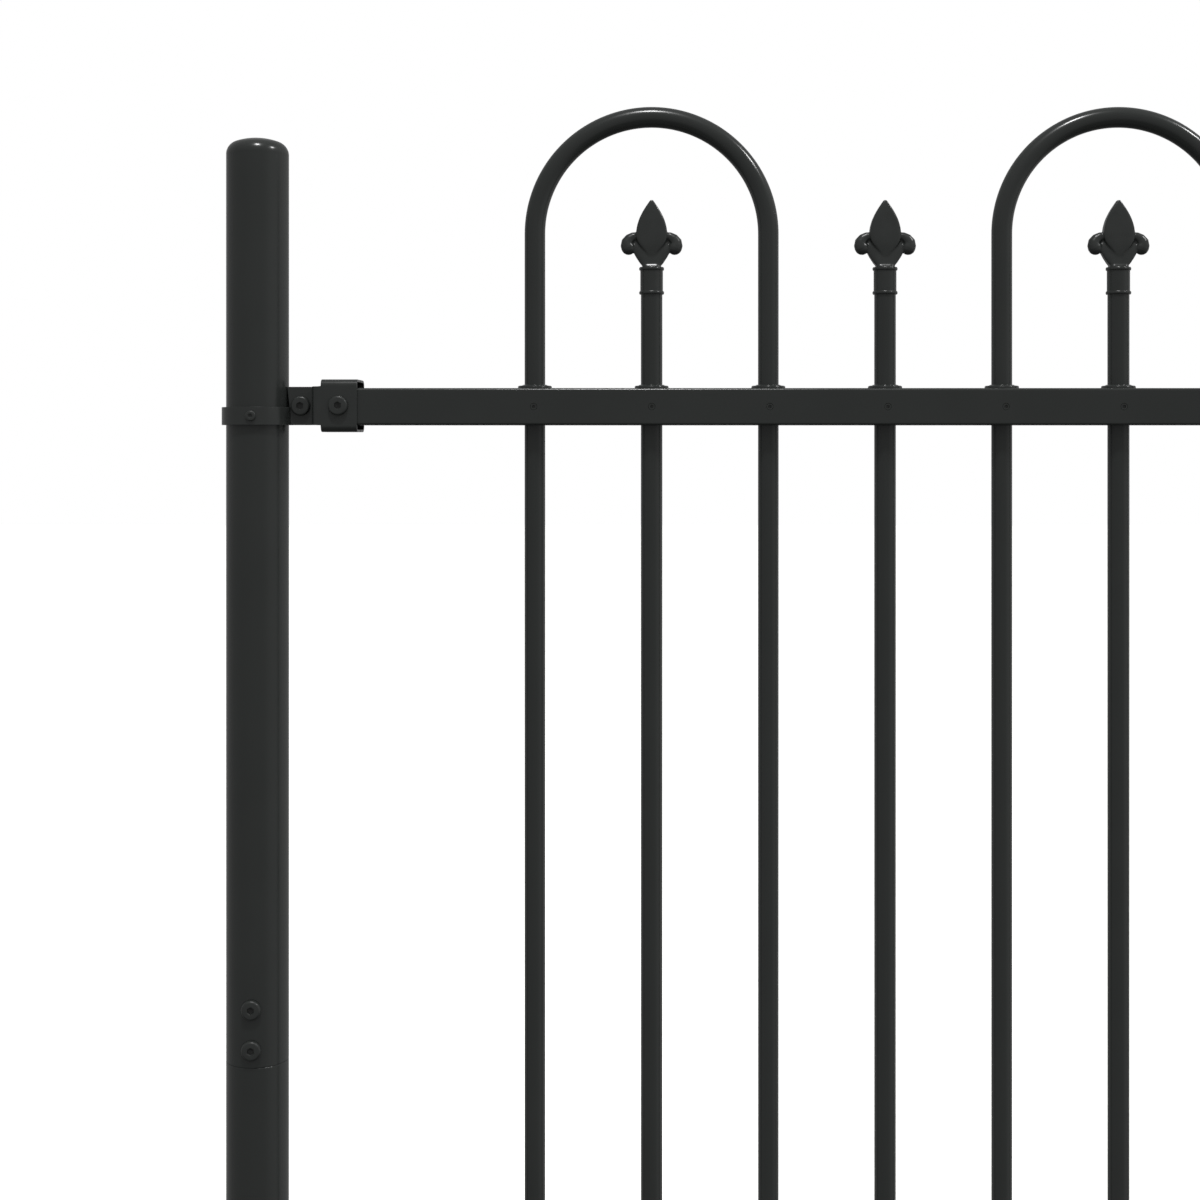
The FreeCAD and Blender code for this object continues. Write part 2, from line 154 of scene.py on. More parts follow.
def hold(piece: Piece) -> None:
    """Select one piece and make it active.

    Args:
        piece: The object.
    """
    clear()
    piece.select_set(True)
    bpy.context.view_layer.objects.active = piece


@contextmanager
def editing(piece: Piece) -> Iterator[None]:
    """Edit a piece's mesh, and go back to object mode.

    Args:
        piece: The mesh object.
    """
    hold(piece)
    bpy.ops.object.mode_set(mode="EDIT")
    yield
    bpy.ops.object.mode_set(mode="OBJECT")


def pick(kind: Kind, test: Callable[[Vector, Vector], bool]) -> None:
    """Select parts of the mesh in edit mode by place and direction.

    Args:
        kind: Vertices or edges.
        test: Gets a part's middle and its normal, or an edge's direction, and says whether to take it.
    """
    bpy.ops.mesh.select_mode(type=kind.value)
    bpy.ops.mesh.select_all(action="DESELECT")
    shape = bmesh.from_edit_mesh(bpy.context.object.data)
    shape.normal_update()
    if kind is Kind.VERT:
        found = [vert for vert in shape.verts if test(vert.co, vert.normal)]
    else:
        found = []
        for edge in shape.edges:
            start, end = (vert.co for vert in edge.verts)
            if test((start + end) / 2, (end - start).normalized()):
                found.append(edge)
    for part in found:
        part.select_set(True)
    shape.select_flush_mode()
    bmesh.update_edit_mesh(bpy.context.object.data)


def whole(kind: Kind) -> None:
    """Select the whole mesh in edit mode, as vertices, edges or faces."""
    bpy.ops.mesh.select_mode(type=kind.value)
    bpy.ops.mesh.select_all(action="SELECT")


def merge() -> None:
    """Merge the doubles of the mesh in edit mode, and turn its faces outwards."""
    bpy.ops.mesh.select_all(action="SELECT")
    bpy.ops.mesh.remove_doubles(threshold=TOUCHING)
    bpy.ops.mesh.normals_make_consistent(inside=False)


def near(first: float, second: float) -> bool:
    """Say whether two lengths are the same."""
    return abs(first - second) < TOUCHING


def pull(step: Sequence[float]) -> None:
    """Extrude what is selected by a step."""
    bpy.ops.mesh.extrude_region_move(TRANSFORM_OT_translate={"value": Vector(step)})


def resize(factors: Sequence[float], centre: Vector) -> None:
    """Scale what is selected about a centre."""
    bpy.ops.transform.resize(value=factors, center_override=centre)


def fold(centre: Vector, axis: Vector, angle: float, steps: int) -> None:
    """Spin the selected edges round an axis. With no window, spin turns the other way."""
    bpy.ops.mesh.spin(steps=steps, angle=-angle, center=centre, axis=axis)


def settle(piece: Piece) -> None:
    """Put a new primitive's place into its mesh."""
    hold(piece)
    bpy.ops.object.transform_apply(location=True, rotation=True, scale=True)


def begin(name: str, primitive: Callable[..., set[str]], factors: Sequence[float] = (1, 1, 1),
          **settings: object) -> Piece:
    """Begin a piece with a primitive.

    Args:
        name: The piece's name.
        primitive: The operator that adds it.
        factors: What it is scaled by.
        settings: The operator's settings.

    Returns:
        The piece, with its place in its mesh.
    """
    clear()
    primitive(**settings)
    piece = bpy.context.object
    piece.name = name
    piece.scale = factors
    settle(piece)
    return piece


def modify(piece: Piece, kind: str, **settings: object) -> None:
    """Add a modifier and apply it.

    Args:
        piece: The mesh object.
        kind: The modifier's type name.
        settings: Its properties.
    """
    hold(piece)
    modifier = piece.modifiers.new(kind.lower(), kind)
    for name, value in settings.items():
        setattr(modifier, name, value)
    bpy.ops.object.modifier_apply(modifier=modifier.name)


def cut(piece: Piece, tool: Piece, operation: str = "DIFFERENCE") -> None:
    """Cut a piece with a solid tool, and throw the tool away."""
    modify(piece, "BOOLEAN", object=tool, operation=operation, solver="EXACT")
    bpy.data.objects.remove(tool)


def tidy(piece: Piece, sharp: float = 35.0) -> None:
    """Merge doubles, turn the faces outwards and smooth all but sharp edges.

    Args:
        piece: The mesh object.
        sharp: The angle in degrees from which an edge stays sharp.
    """
    with editing(piece):
        merge()
    bpy.ops.object.shade_smooth_by_angle(angle=math.radians(sharp))


def thicken(piece: Piece, thickness: float, axis: int, outwards: bool) -> None:
    """Give a sheet its thickness on one side.

    Args:
        piece: The sheet.
        thickness: How thick it gets.
        axis: The number of the axis that tells the sides apart.
        outwards: Whether the piece is to reach further along that axis than the sheet did.
    """
    flat = piece.data.copy()
    limit = extent(piece, axis) + thickness / 2
    modify(piece, "SOLIDIFY", thickness=thickness, offset=1.0, use_even_offset=True)
    if (extent(piece, axis) > limit) is not outwards:
        piece.data = flat
        modify(piece, "SOLIDIFY", thickness=thickness, offset=-1.0, use_even_offset=True)


def extent(piece: Piece, axis: int) -> float:
    """Find how far a piece reaches from the origin along an axis."""
    return max(abs(vert.co[axis]) for vert in piece.data.vertices)


def level_shading(piece: Piece) -> None:
    """Let the broad faces set the normals, so that they look flat up to their rounded edges."""
    modify(piece, "WEIGHTED_NORMAL", keep_sharp=True, weight=100)


def soften(piece: Piece, width: float, segments: int = 3, sharp: float = 40.0) -> None:
    """Round the cut edges of a sheet, as the coat does.

    Args:
        piece: The sheet.
        width: How far the rounding reaches.
        segments: Facets across it.
        sharp: The angle in degrees from which an edge stays sharp.
    """
    modify(piece, "BEVEL", width=width, segments=segments, limit_method="ANGLE",
           angle_limit=math.radians(50))
    tidy(piece, sharp)
    level_shading(piece)


def join(name: str, pieces: Sequence[Piece]) -> Piece:
    """Make one object of several.

    Args:
        name: The name of the result.
        pieces: The objects, which the first one takes in.

    Returns:
        The joined object.
    """
    clear()
    for piece in pieces:
        piece.select_set(True)
    bpy.context.view_layer.objects.active = pieces[0]
    if len(pieces) > 1:
        bpy.ops.object.join()
    pieces[0].name = name
    return pieces[0]


def copy_to(piece: Piece, name: str, place: Matrix) -> Piece:
    """Copy a piece with a mesh of its own.

    Args:
        piece: The piece that was modelled.
        name: The copy's name.
        place: The move from the first to the copy.

    Returns:
        The copy, with the move in its mesh.
    """
    copy = piece.copy()
    copy.data = piece.data.copy()
    copy.data.transform(place)
    copy.name = name
    bpy.context.scene.collection.objects.link(copy)
    return copy


def turn(name: str, rings: Sequence[tuple[float, float]], centre: Vector = ORIGIN, axis: Vector = UP,
         sides: int = 48, hollow: bool = False) -> Piece:
    """Turn a round piece: a circle, extruded and scaled ring by ring.

    Args:
        name: The piece's name.
        rings: Radius and height of each ring. A hollow piece's last ring closes on its first.
        centre: Where height is 0.
        axis: The unit direction that height runs along, which is X, Y or Z.
        sides: Corners round each ring.
        hollow: Whether the piece is a ring with an open middle, and not a solid.

    Returns:
        The turned piece.
    """
    radius, height = rings[0]
    piece = begin(name, bpy.ops.mesh.primitive_circle_add, vertices=sides, radius=radius,
                  fill_type="NOTHING" if hollow else "NGON", location=centre + axis * height,
                  rotation=axis.to_track_quat("Z", "Y").to_euler())
    along = [abs(value) for value in axis]
    with editing(piece):
        whole(Kind.EDGE if hollow else Kind.FACE)
        for wide, high in rings[1:]:
            pull(axis * (high - height))
            factor = wide / radius
            resize([1 if value else factor for value in along], centre)
            radius, height = wide, high
    tidy(piece)
    return piece


def sheet(name: str, low: Sequence[float], high: Sequence[float]) -> Piece:
    """Stand a flat upright rectangle that faces front.

    Args:
        name: The piece's name.
        low: X, Y and Z of its lower left corner.
        high: X, Y and Z of its upper right corner, with the same Y.

    Returns:
        A piece of one face.
    """
    a, b = Vector(low), Vector(high)
    return begin(name, bpy.ops.mesh.primitive_plane_add, (b.x - a.x, b.z - a.z, 1), size=1,
                 location=(a + b) / 2, rotation=(math.radians(90), 0, 0))


def drill(piece: Piece, place: Vector, radius: float, span: tuple[float, float],
          axis: Vector = UP, sides: int = 48) -> None:
    """Drill a round hole.

    Args:
        piece: What is drilled.
        place: A point on the hole's axis.
        radius: The hole's radius.
        span: Where the drill starts and ends, from the place along the axis.
        axis: The unit direction of the hole.
        sides: Corners round it.
    """
    cut(piece, turn("drill", [(radius, end) for end in span], place, axis, sides))


def arc(centre: tuple[float, float], radius: float, start: float, end: float,
        steps: int) -> list[tuple[float, float]]:
    """Rings of a turned piece on an arc, with the angles in degrees from the outward direction up."""
    angles = [math.radians(start + (end - start) * step / steps) for step in range(steps + 1)]
    return [(centre[0] + radius * math.cos(a), centre[1] + radius * math.sin(a)) for a in angles]


def middle(node: str) -> tuple[float, ...]:
    """Find the middle of a CAD node's box: its X, Y and Z."""
    return tuple((low + high) / 2 for low, high in zip(*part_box(node)))


# ---- Colour and nodes ----
def linear(code: str) -> tuple[float, float, float, float]:
    """Turn an sRGB hex code into a linear colour.

    Args:
        code: Six hex digits after a hash sign.

    Returns:
        Red, green and blue from 0 to 1, and an alpha of 1.
    """
    channels = []
    for start in (1, 3, 5):
        value = int(code[start:start + 2], 16) / 255
        channels.append(value / 12.92 if value <= 0.04045 else ((value + 0.055) / 1.055) ** 2.4)
    return channels[0], channels[1], channels[2], 1.0


def add_node(tree: Tree, kind: str, settings: dict | None = None,
             links: dict | None = None) -> bpy.types.Node:
    """Add a node with its settings and links.

    Args:
        tree: The tree that gets the node.
        kind: The node's type name, without the "ShaderNode" that they all begin with.
        settings: Names of properties or inputs, or input numbers, with their values.
        links: Names or numbers of inputs, with the sockets that feed them.

    Returns:
        The new node.
    """
    node = tree.nodes.new(f"ShaderNode{kind}")
    for name, value in (settings or {}).items():
        if isinstance(name, str) and name not in node.inputs:
            setattr(node, name, value)
        else:
            node.inputs[name].default_value = value
    for name, socket in (links or {}).items():
        tree.links.new(socket, node.inputs[name])
    return node


def noise(tree: Tree, place: Socket, size_mm: float, detail: float,
          roughness: float = 0.5) -> Socket:
    """Add noise with patches of a size."""
    settings = {"Scale": 1 / (size_mm * MM), "Detail": detail, "Roughness": roughness}
    return add_node(tree, "TexNoise", settings, {"Vector": place}).outputs["Fac"]


def remap(tree: Tree, value: Socket, span: tuple[float, float],
          result: tuple[float, float], easing: str = "LINEAR") -> Socket:
    """Map a socket's span to a span of results."""
    settings = {"interpolation_type": easing, "From Min": span[0], "From Max": span[1], "To Min": result[0],
                "To Max": result[1]}
    return add_node(tree, "MapRange", settings, {"Value": value}).outputs["Result"]


# ---- Finishes ----
@dataclass(frozen=True)
class Finish:
    """A dark skin over metal or plastic: drifting colour, uneven gloss and a fine relief.

    The drift keeps a long tube from looking printed, the uneven gloss breaks up highlights as handling and
    dust do, and the relief is what a grazing light picks out.
    """

    name: str
    deep: str
    pale: str
    gloss: tuple[float, float]  # lowest and highest roughness
    sheen_level: float  # specular level
    drift_mm: float  # size of a patch of colour
    relief_mm: float  # size of one bump
    relief_depth_mm: float
    relief_strength: float = 0.6
    drift_span: tuple[float, float] = (0.3, 0.7)  # where most of the drift lies

    def build(self) -> bpy.types.Material:
        """Make the material on Object coordinates.

        Returns:
            The node material.
        """
        material = bpy.data.materials.new(self.name)
        material.use_nodes = True
        tree = material.node_tree
        shader = tree.nodes["Principled BSDF"]
        shader.inputs["Specular IOR Level"].default_value = self.sheen_level
        place = add_node(tree, "TexCoord").outputs["Object"]
        drift = noise(tree, place, self.drift_mm, 4.0)
        colour = add_node(tree, "Mix",
                          {"data_type": "RGBA", 6: linear(self.deep), 7: linear(self.pale)}, {0: drift})
        tree.links.new(colour.outputs[2], shader.inputs["Base Color"])
        tree.links.new(remap(tree, drift, self.drift_span, self.gloss), shader.inputs["Roughness"])
        bump = add_node(tree, "Bump", {"Strength": self.relief_strength,
                                                 "Distance": self.relief_depth_mm * MM},
                        {"Height": self.relief(tree, place)})
        tree.links.new(bump.outputs["Normal"], shader.inputs["Normal"])
        return material

    def relief(self, tree: Tree, place: Socket) -> Socket:
        """Orange peel, the slow ripple that powder leaves as it melts and levels."""
        return noise(tree, place, self.relief_mm, 1.5, 0.4)


@dataclass(frozen=True)
class CastFinish(Finish):
    """Powder coat over a sand casting, which shows the sand's grain and shallow pits through the coat."""

    pits_per_bump: float = 0.4

    def relief(self, tree: Tree, place: Socket) -> Socket:
        """Sand grain with pits in it.

        Args:
            tree: The material's tree.
            place: Object coordinates.

        Returns:
            The height.
        """
        grain = noise(tree, place, self.relief_mm, 4.0)
        pits = add_node(tree, "TexVoronoi", {"Scale": self.pits_per_bump / (self.relief_mm * MM)},
                        {"Vector": place})
        return add_node(tree, "Math", {"operation": "ADD"},
                        {0: grain, 1: pits.outputs["Distance"]}).outputs[0]


@dataclass(frozen=True)
class FastenerFinish(Finish):
    """Thin black coat on cold-formed steel, which lets fine forming marks through as short streaks."""

    def relief(self, tree: Tree, place: Socket) -> Socket:
        """Streaks along the fastener's axis, Y."""
        streaked = add_node(tree, "Mapping", {"Scale": (1.0, 0.2, 1.0)}, {"Vector": place})
        return noise(tree, streaked.outputs["Vector"], self.relief_mm, 3.0)


@dataclass(frozen=True)
class MouldedFinish(Finish):
    """Black plastic from a finely ground mould: a faint even grain that hardly widens its highlights."""

    def relief(self, tree: Tree, place: Socket) -> Socket:
        """Rounded cells packed close together."""
        settings = {"feature": "SMOOTH_F1", "Scale": 1 / (self.relief_mm * MM)}
        return add_node(tree, "TexVoronoi", settings, {"Vector": place}).outputs["Distance"]


FINISHES: dict[Slot, Finish] = {
    Slot.TUBE: Finish(
        "satin_powder_coat_on_tube", "#202221", "#242625", (0.19, 0.25), 0.32, 60.0, 2.6, 0.02),
    Slot.SHEET: Finish(
        "satin_powder_coat_on_pressed_steel", "#202221", "#252726", (0.20, 0.27), 0.34, 18.0, 2.2, 0.02),
    Slot.CAST: CastFinish(
        "powder_coat_on_cast_iron", "#1F2120", "#252726", (0.25, 0.32), 0.34, 12.0, 1.1, 0.012),
    Slot.FASTENER: FastenerFinish(
        "black_coated_steel", "#202221", "#252726", (0.30, 0.38), 0.34, 8.0, 0.6, 0.01),
    Slot.PLASTIC: MouldedFinish(
        "smooth_moulded_plastic", "#1F2120", "#242625", (0.17, 0.23), 0.34, 30.0, 0.7, 0.006),
}


class Wardrobe:
    """Builds each finish once and dresses pieces and CAD nodes in them."""

    def __init__(self) -> None:
        """Build every finish."""
        self.materials = {slot: finish.build() for slot, finish in FINISHES.items()}

    def dress(self, piece: Piece, slot: Slot) -> None:
        """Give a mesh one finish all over."""
        piece.data.materials.clear()
        piece.data.materials.append(self.materials[slot])

    def hand_over(self, piece: Piece, slot: Slot, *nodes: str) -> None:
        """Dress a new piece and put it in place of CAD nodes.

        Args:
            piece: The new piece.
            slot: Its finish.
            nodes: The CAD nodes that it stands for, all on one body.
        """
        self.dress(piece, slot)
        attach(piece, frame["nodes"][nodes[0]]["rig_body"])
        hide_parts(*nodes)
        log.info("%s stands for %s", piece.name, ", ".join(nodes))

    def keep(self, name: str, slot: Slot) -> None:
        """Dress a CAD node that keeps its own mesh."""
        self.dress(frame["nodes"][name], slot)
        log.info("%s keeps its mesh", name)


@dataclass
class Assembly:
    """A sub-assembly, which takes its finishes from the wardrobe."""

    wardrobe: Wardrobe


# ---- Fasteners ----
@dataclass
class ButtonHead:
    """A domed head with a hexagon socket, on a shank with a thread at its end. It points along Y."""

    diameter: float = 0.0150
    height: float = 0.0038
    seat_edge: float = 0.0004
    rim: float = 0.0020
    flat_share: float = 0.78  # how much of the head's radius is flat
    socket: float = 0.0050  # across flats
    socket_depth: float = 0.0024
    mouth: float = 0.0003  # bevel round the socket
    shank: float = 0.0080
    thread_pitch: float = 0.00125
    thread_depth: float = 0.0006

    def crown(self) -> list[tuple[float, float]]:
        """Rings of the head from its seat to its flat top.

        Returns:
            Radius and height of each ring.
        """
        radius = self.diameter / 2
        top = self.flat_share * radius
        rings = [(radius - self.seat_edge, 0), (radius, self.seat_edge), (radius, self.rim)]
        for step in range(1, 7):
            share = math.radians(90 * step / 6)
            rings.append((top + (radius - top) * math.cos(share),
                          self.rim + (self.height - self.rim) * math.sin(share)))
        return rings

    def build(self, seat: Vector, length: float, threaded: float) -> Piece:
        """Turn the screw and cut its socket.

        Args:
            seat: Where the head bears, on the axis.
            length: The shank below the head.
            threaded: How much of the shank's end has a thread.

        Returns:
            The screw.
        """
        radius = self.shank / 2
        root = radius - self.thread_depth
        rings = [(root - self.thread_depth, -length), (root, self.thread_depth - length)]
        turns = int(threaded / self.thread_pitch)
        for count in range(turns):
            foot = self.thread_depth - length + count * self.thread_pitch
            rings += [(radius, foot + self.thread_pitch / 2), (root, foot + self.thread_pitch)]
        rings += [(radius, rings[-1][1] + self.thread_depth), (radius, 0)]
        screw = turn("screw", rings + self.crown(), seat, FRONT)
        corner = self.socket / math.sqrt(3)
        mouth = corner + self.mouth
        bottom = self.height - self.socket_depth
        well = [(mouth + self.mouth, self.height + self.mouth), (corner, self.height - self.mouth),
                (corner, bottom), (corner / 4, bottom - corner / 3)]
        cut(screw, turn("well", well, seat, FRONT, sides=6))
        tidy(screw, 30)
        return screw


@dataclass
class HexNut:
    """A hexagon nut with both faces chamfered and its bore countersunk."""

    flats: float = 0.0130
    height: float = 0.0065
    bore: float = 0.0082
    chamfer: float = 0.0006

    def build(self, seat: Vector) -> Piece:
        """Cut the hexagon to a chamfered blank and bore it.

        Args:
            seat: Where the nut bears, on the axis. It stands out to +Y.

        Returns:
            The nut.
        """
        back = -FRONT
        corner = self.flats / math.sqrt(3)
        nut = turn("nut", [(corner, 0), (corner, self.height)], seat, back, sides=6)
        inside = self.flats / 2
        wide, slope = corner * 1.02, self.chamfer * 1.4
        blank = [(inside, 0), (wide, slope), (wide, self.height - slope), (inside, self.height)]
        cut(nut, turn("blank", blank, seat, back), "INTERSECT")
        hole = self.bore / 2
        mouth = hole + self.chamfer + self.chamfer
        cutter = [(mouth, -self.chamfer), (hole, self.chamfer), (hole, self.height - self.chamfer),
                  (mouth, self.height + self.chamfer)]
        cut(nut, turn("cutter", cutter, seat, back, sides=32))
        tidy(nut, 20)
        return nut


# ---- Clamp ----
@dataclass
class Clamp(Assembly):
    """A strap with two ears round a post, a folded clip on the rail's end, and their fasteners.

    It is modelled at the left post's top rail with the post's axis at X 0 and its own middle at Z 0, and
    copied to the four ends of the rails. At the right post it is turned half round about Y.
    """

    post_radius: float = 0.0240
    strap_gap: float = 0.0001
    strap_sheet: float = 0.0032
    band_height: float = 0.0138
    ear_height: float = 0.0296
    ear_inner: float = 0.0021  # half the gap between the ears
    ear_corner: float = 0.0016
    clip_sheet: float = 0.0020
    clip_height: float = 0.0405
    clip_face: float = 0.0200
    clip_bend: float = 0.0052
    side_bend: float = 0.0050
    tab_bend: float = 0.0024
    shoulder_fillet: float = 0.0024
    split: float = 0.0010
    edge_round: float = 0.00045
    strap_round: float = 0.0014
    ear_hole: float = 0.0042  # radius
    clip_gap: float = 0.0006  # between the ears and the clip
    neck: float = 0.0074  # length of the clip's low part
    tab_reach: float = 0.0040  # past the post's face
    bolt_end: float = 0.0020  # past the nut
    lock_length: float = 0.0031
    lock_thread: float = 0.0016

    def measure(self) -> None:
        """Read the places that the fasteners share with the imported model."""
        self.axis_x = middle("left_upper_tube")[0]
        self.middle_z = middle("left_top_strap")[2]
        self.ear_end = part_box("left_top_strap")[1].x - self.axis_x
        self.ear_face = self.ear_inner + self.strap_sheet
        low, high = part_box("left_top_bolts")
        head = ButtonHead().diameter / 2
        self.ear_bolt_x = low.x + head - self.axis_x
        self.rail_bolt_x = high.x - head - self.axis_x
        self.clip_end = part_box("left_top_front_clip")[1].x - self.axis_x
        self.clip_start = self.ear_end + self.clip_gap
        self.clip_shoulder = self.clip_start + self.neck

    def strap(self) -> Piece:
        """Bend the strap: an ear, the band round the post and the other ear.

        Returns:
            The strap.
        """
        foot = -self.ear_height / 2
        top = foot + self.band_height
        bore = self.post_radius + self.strap_gap
        reach = math.sqrt(bore**2 - self.ear_inner**2)
        strap = sheet("strap", (reach, self.ear_inner, foot), (self.ear_end, self.ear_inner, top))
        half_mouth = math.asin(self.ear_inner / bore)
        with editing(strap):
            pick(Kind.EDGE, lambda place, way: near(place.x, reach))
            fold(ORIGIN, UP, 2 * math.pi - 2 * half_mouth, 72)
            pull((self.ear_end - reach, 0, 0))
            pick(Kind.EDGE, lambda place, way: near(place.z, top) and place.x > bore
                 and near(abs(way.x), 1))
            pull((0, 0, self.ear_height - self.band_height))
            pick(Kind.VERT, lambda place, way: near(place.x, self.ear_end)
                 and near(abs(place.z), self.ear_height / 2))
            bpy.ops.mesh.bevel(affect="VERTICES", offset=self.ear_corner, segments=4)
            merge()
        thicken(strap, self.strap_sheet, axis=1, outwards=True)
        drill(strap, Vector((self.ear_bolt_x, 0, 0)), self.ear_hole, (-0.01, 0.01), FRONT)
        soften(strap, self.strap_round)
        return strap

    def clip(self) -> Piece:
        """Fold the front clip: a face with two flanges, a low neck, and a tab between the ears.

        Returns:
            The clip.
        """
        face_y = -self.clip_face
        flat = self.clip_height / 2 - self.clip_bend
        low = self.ear_height / 2
        clip = sheet("clip", (self.clip_shoulder, face_y, -flat), (self.clip_end, face_y, flat))
        with editing(clip):
            x, half = self.clip_shoulder, flat
            pick(Kind.EDGE, lambda place, way: near(place.x, x))
            for step in range(1, 6):
                turned = math.radians(90 * step / 5)
                new_x = self.clip_shoulder - self.shoulder_fillet * math.sin(turned)
                new_half = low + (flat - low) * (1 - math.sin(turned)) if step < 5 else low
                pull((new_x - x, 0, 0))
                resize((1, 1, new_half / half), ORIGIN)
                x, half = new_x, new_half
            pull((self.clip_start + self.side_bend - x, 0, 0))
            corner = Vector((self.clip_start + self.side_bend, face_y + self.side_bend, 0))
            fold(corner, UP, -math.pi / 2, 8)
            tab_y = -self.split / 2 - self.clip_sheet
            pull((0, tab_y - self.tab_bend - face_y - self.side_bend, 0))
            fold(Vector((self.clip_start - self.tab_bend, tab_y - self.tab_bend, 0)), UP, math.pi / 2, 6)
            pull((self.post_radius + self.tab_reach - self.clip_start + self.tab_bend, 0, 0))
            for sign in (-1, 1):
                pick(Kind.EDGE, lambda place, way: near(place.z, sign * flat)
                     and place.x > self.clip_shoulder and near(abs(way.x), 1))
                hinge = Vector((0, face_y + self.clip_bend, sign * flat))
                fold(hinge, Vector((1, 0, 0)), -sign * math.pi / 2, 8)
                pull((0, -face_y - self.clip_bend - self.split / 2, 0))
            merge()
        thicken(clip, self.clip_sheet, axis=1, outwards=False)
        soften(clip, self.edge_round)
        return clip

    def parts(self) -> dict[str, Piece]:
        """Model one of each part.

        Returns:
            The parts by the end of their nodes' names.
        """
        bolt = ButtonHead()
        nut = HexNut()
        clip = self.clip()
        back = copy_to(clip, "back", Matrix.Scale(-1, 4, Vector((0, 1, 0))))
        tidy(back, 40)
        level_shading(back)
        bolts, nuts = [], []
        for x, y in ((self.ear_bolt_x, self.ear_face), (self.rail_bolt_x, self.clip_face)):
            bolts.append(bolt.build(Vector((x, -y, 0)), 2 * y + nut.height + self.bolt_end,
                                    nut.height + 2 * self.bolt_end))
            nuts.append(nut.build(Vector((x, y, 0))))
        outer = self.post_radius + self.strap_gap + self.strap_sheet
        lock = ButtonHead(diameter=0.0080, height=0.0015, seat_edge=0.0002, rim=0.0004, socket=0.0030,
                          socket_depth=0.0009, mouth=0.0002, shank=0.0050, thread_pitch=0.0008,
                          thread_depth=0.0004)
        place = Vector((0, -outer, (self.band_height - self.ear_height) / 2))
        return {"strap": self.strap(), "front_clip": clip, "back_clip": back,
                "bolts": join("bolts", bolts), "nuts": join("nuts", nuts),
                "lock_screw": lock.build(place, self.lock_length, self.lock_thread)}

    def build(self) -> None:
        """Copy the clamp to the four ends of the rails."""
        self.measure()
        slots = {"strap": Slot.SHEET, "front_clip": Slot.SHEET, "back_clip": Slot.SHEET}
        parts = self.parts()
        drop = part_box("left_bottom_strap")[0].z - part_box("left_top_strap")[0].z
        for side in Side:
            for level in Level:
                height = self.middle_z + (drop if level is Level.BOTTOM else 0)
                place = Matrix.Translation((self.axis_x * -side.value, 0, height))
                if side is Side.RIGHT:
                    place = place @ Matrix.Rotation(math.pi, 4, "Y")
                for part_name, part in parts.items():
                    node = f"{side.label}_{level.value}_{part_name}"
                    piece = copy_to(part, f"{node}_formed", place)
                    self.wardrobe.hand_over(piece, slots.get(part_name, Slot.FASTENER), node)
        for part in parts.values():
            bpy.data.objects.remove(part)


